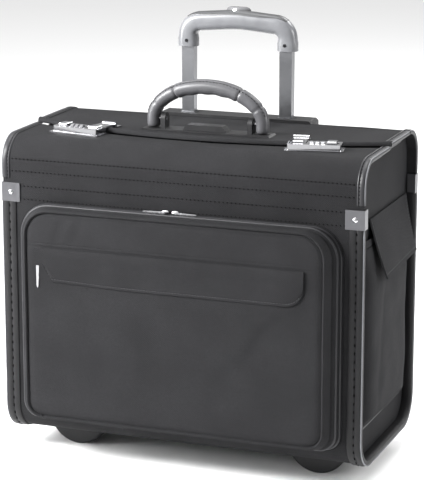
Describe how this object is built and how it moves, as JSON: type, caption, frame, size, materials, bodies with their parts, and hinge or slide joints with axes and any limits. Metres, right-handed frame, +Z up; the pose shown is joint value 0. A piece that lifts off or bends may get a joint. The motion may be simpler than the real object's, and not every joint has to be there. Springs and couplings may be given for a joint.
{
  "type": "pilot rolling flight case",
  "caption": "Soft-sided wheeled pilot case with split doctor-bag lid, combination locks, carry handle, telescopic trolley handle, zipped front compartment and side pockets.",
  "frame": {"origin": "on the floor under the middle of the overall box", "axes": "+Z up, -Y towards the front compartment, +Y towards the trolley handle, +X to the right seen from the front"},
  "size_m": [0.5096, 0.2704, 0.567],
  "materials": {
    "nylon": "woven black nylon, matt with a soft sheen",
    "binding": "leather-look coated binding, satin",
    "lining": "plain woven lining",
    "bracket_steel": "satin nickel-plated sheet",
    "chrome": "polished chrome plate",
    "zip_metal": "bright nickel",
    "tube_aluminium": "satin anodised extrusion",
    "moulded_black": "fine-textured moulding",
    "grip_plastic": "semi-gloss moulding",
    "screw_steel": "turned steel",
    "handle_leather": "padded leather-look cover",
    "tyre": "solid rubber"
  },
  "bodies": {
    "case": {"front_wall": "nylon", "rear_wall": "nylon", "base_wrap": "nylon", "rear_top_strip": "nylon", "end_panel_left": "nylon", "end_panel_right": "nylon", "edge_binding_left": "binding", "edge_binding_right": "binding", "corner_brackets": "bracket_steel", "bracket_rivets": "chrome", "pocket_welt": "binding", "side_pocket_left": "nylon", "side_pocket_right": "nylon", "trolley_sleeves": "tube_aluminium", "trolley_dock": "moulded_black", "trolley_foot_bracket": "moulded_black", "wheel_axle_left": "screw_steel", "wheel_axle_right": "screw_steel", "wheel_housing_left": "moulded_black", "wheel_housing_right": "moulded_black", "front_foot_left": "moulded_black", "front_foot_right": "moulded_black", "interior_divider": "lining"},
    "front_lid": {"front_lid": "nylon", "lock_base_plates": "chrome", "lock_cases": "chrome"},
    "rear_lid": {"rear_lid": "nylon", "handle_base_plate": "grip_plastic", "handle_pivot_pins": "chrome", "hasp_hinge_leaves": "chrome"},
    "carry_handle": {"carry_handle": "handle_leather"},
    "front_pocket": {"front_pocket_shell": "nylon"},
    "slip_flap": {"slip_pocket_flap": "nylon"},
    "slip_pull": {"slip_zip_pull": "zip_metal"},
    "trolley_stage_one": {"trolley_middle_tubes": "tube_aluminium"},
    "trolley_stage_two": {"trolley_inner_tubes": "tube_aluminium", "trolley_grip": "grip_plastic", "trolley_grip_screws": "screw_steel"},
    "trolley_release": {"release_button": "grip_plastic", "release_link": "moulded_black"},
    "hasp_right": {"lock_hasp_right": "chrome"},
    "lock_slide_right": {"lock_slide_right": "chrome"},
    "dial_right_1": {"lock_dial_right_1": "chrome"},
    "dial_right_2": {"lock_dial_right_2": "chrome"},
    "dial_right_3": {"lock_dial_right_3": "chrome"},
    "zip_slider_right": {"zip_slider_right": "zip_metal"},
    "zip_pull_right": {"zip_pull_right": "zip_metal"},
    "side_flap_right": {"side_flap_right": "nylon"},
    "wheel_right": {"wheel_tyre_right": "tyre", "wheel_hub_right": "moulded_black"},
    "hasp_left": {"lock_hasp_left": "chrome"},
    "lock_slide_left": {"lock_slide_left": "chrome"},
    "dial_left_1": {"lock_dial_left_1": "chrome"},
    "dial_left_2": {"lock_dial_left_2": "chrome"},
    "dial_left_3": {"lock_dial_left_3": "chrome"},
    "zip_slider_left": {"zip_slider_left": "zip_metal"},
    "zip_pull_left": {"zip_pull_left": "zip_metal"},
    "side_flap_left": {"side_flap_left": "nylon"},
    "wheel_left": {"wheel_tyre_left": "tyre", "wheel_hub_left": "moulded_black"}
  },
  "joints": [
    {"name": "rear_lid_hinge", "type": "hinge", "parent": "case", "child": "rear_lid", "pos_m": [0, 0.0912, 0.423], "axis": [-1, 0, 0], "range_deg": [0, 46]},
    {"name": "front_lid_fold", "type": "hinge", "parent": "case", "child": "front_lid", "pos_m": [0, -0.1058, 0.366], "axis": [1, 0, 0], "range_deg": [0, 69]},
    {"name": "carry_handle_fold", "type": "hinge", "parent": "rear_lid", "child": "carry_handle", "pos_m": [0, -0.0018, 0.437], "axis": [1, 0, 0], "range_deg": [0, 80]},
    {"name": "front_pocket_drop", "type": "hinge", "parent": "case", "child": "front_pocket", "pos_m": [0, -0.1082, 0.055], "axis": [1, 0, 0], "range_deg": [0, 60]},
    {"name": "slip_flap_lift", "type": "hinge", "parent": "front_pocket", "child": "slip_flap", "pos_m": [0, -0.1332, 0.286], "axis": [-1, 0, 0], "range_deg": [0, 90]},
    {"name": "slip_pull_swing", "type": "hinge", "parent": "front_pocket", "child": "slip_pull", "pos_m": [-0.181, -0.1338, 0.262], "axis": [0, 1, 0], "range_deg": [-20, 20]},
    {"name": "trolley_stage_one_slide", "type": "slide", "parent": "case", "child": "trolley_stage_one", "axis": [0, 0, 1], "range_m": [0, 0.27]},
    {"name": "trolley_stage_two_slide", "type": "slide", "parent": "trolley_stage_one", "child": "trolley_stage_two", "axis": [0, 0, 1], "range_m": [-0.0865, 0.185]},
    {"name": "release_press", "type": "slide", "parent": "trolley_stage_two", "child": "trolley_release", "axis": [0, 0, -1], "range_m": [0, 0.003], "stiffness_N_per_m": 400},
    {"name": "hasp_right_hinge", "type": "hinge", "parent": "rear_lid", "child": "hasp_right", "pos_m": [0.13036, -0.01593, 0.4281], "axis": [-0.9806, -0.1959, 0], "range_deg": [0, 100]},
    {"name": "lock_slide_right_travel", "type": "slide", "parent": "front_lid", "child": "lock_slide_right", "axis": [0.9806, 0.1959, 0], "range_m": [0, 0.004], "stiffness_N_per_m": 200},
    {"name": "dial_right_1_turn", "type": "hinge", "parent": "front_lid", "child": "dial_right_1", "pos_m": [0.15428, -0.04888, 0.42545], "axis": [0.9806, 0.1959, 0], "continuous": true},
    {"name": "dial_right_2_turn", "type": "hinge", "parent": "front_lid", "child": "dial_right_2", "pos_m": [0.16114, -0.04751, 0.42545], "axis": [0.9806, 0.1959, 0], "continuous": true},
    {"name": "dial_right_3_turn", "type": "hinge", "parent": "front_lid", "child": "dial_right_3", "pos_m": [0.16801, -0.04614, 0.42545], "axis": [0.9806, 0.1959, 0], "continuous": true},
    {"name": "zip_slider_right_run", "type": "slide", "parent": "case", "child": "zip_slider_right", "axis": [1, 0, 0], "range_m": [0, 0.13]},
    {"name": "zip_pull_right_swing", "type": "hinge", "parent": "zip_slider_right", "child": "zip_pull_right", "pos_m": [-0.0025, -0.1138, 0.3399], "axis": [0, 0, -1], "range_deg": [0, 70]},
    {"name": "side_flap_right_lift", "type": "hinge", "parent": "case", "child": "side_flap_right", "pos_m": [0.2284, 0.03445, 0.337], "axis": [0, -1, 0], "range_deg": [0, 90]},
    {"name": "wheel_right_spin", "type": "hinge", "parent": "case", "child": "wheel_right", "pos_m": [0.172, 0.1077, 0.0275], "axis": [1, 0, 0], "continuous": true},
    {"name": "hasp_left_hinge", "type": "hinge", "parent": "rear_lid", "child": "hasp_left", "pos_m": [-0.13036, -0.01593, 0.4281], "axis": [-0.9806, 0.1959, 0], "range_deg": [0, 100]},
    {"name": "lock_slide_left_travel", "type": "slide", "parent": "front_lid", "child": "lock_slide_left", "axis": [-0.9806, 0.1959, 0], "range_m": [0, 0.004], "stiffness_N_per_m": 200},
    {"name": "dial_left_1_turn", "type": "hinge", "parent": "front_lid", "child": "dial_left_1", "pos_m": [-0.15428, -0.04888, 0.42545], "axis": [-0.9806, 0.1959, 0], "continuous": true},
    {"name": "dial_left_2_turn", "type": "hinge", "parent": "front_lid", "child": "dial_left_2", "pos_m": [-0.16114, -0.04751, 0.42545], "axis": [-0.9806, 0.1959, 0], "continuous": true},
    {"name": "dial_left_3_turn", "type": "hinge", "parent": "front_lid", "child": "dial_left_3", "pos_m": [-0.16801, -0.04614, 0.42545], "axis": [-0.9806, 0.1959, 0], "continuous": true},
    {"name": "zip_slider_left_run", "type": "slide", "parent": "case", "child": "zip_slider_left", "axis": [-1, 0, 0], "range_m": [0, 0.13]},
    {"name": "zip_pull_left_swing", "type": "hinge", "parent": "zip_slider_left", "child": "zip_pull_left", "pos_m": [-0.0155, -0.1138, 0.3399], "axis": [0, 0, 1], "range_deg": [0, 70]},
    {"name": "side_flap_left_lift", "type": "hinge", "parent": "case", "child": "side_flap_left", "pos_m": [-0.2284, 0.03445, 0.337], "axis": [0, 1, 0], "range_deg": [0, 90]},
    {"name": "wheel_left_spin", "type": "hinge", "parent": "case", "child": "wheel_left", "pos_m": [-0.172, 0.1077, 0.0275], "axis": [1, 0, 0], "continuous": true}
  ],
  "couplings": [
    {"joint": "front_lid_fold", "follows": "rear_lid_hinge", "ratio": 1.5}
  ]
}
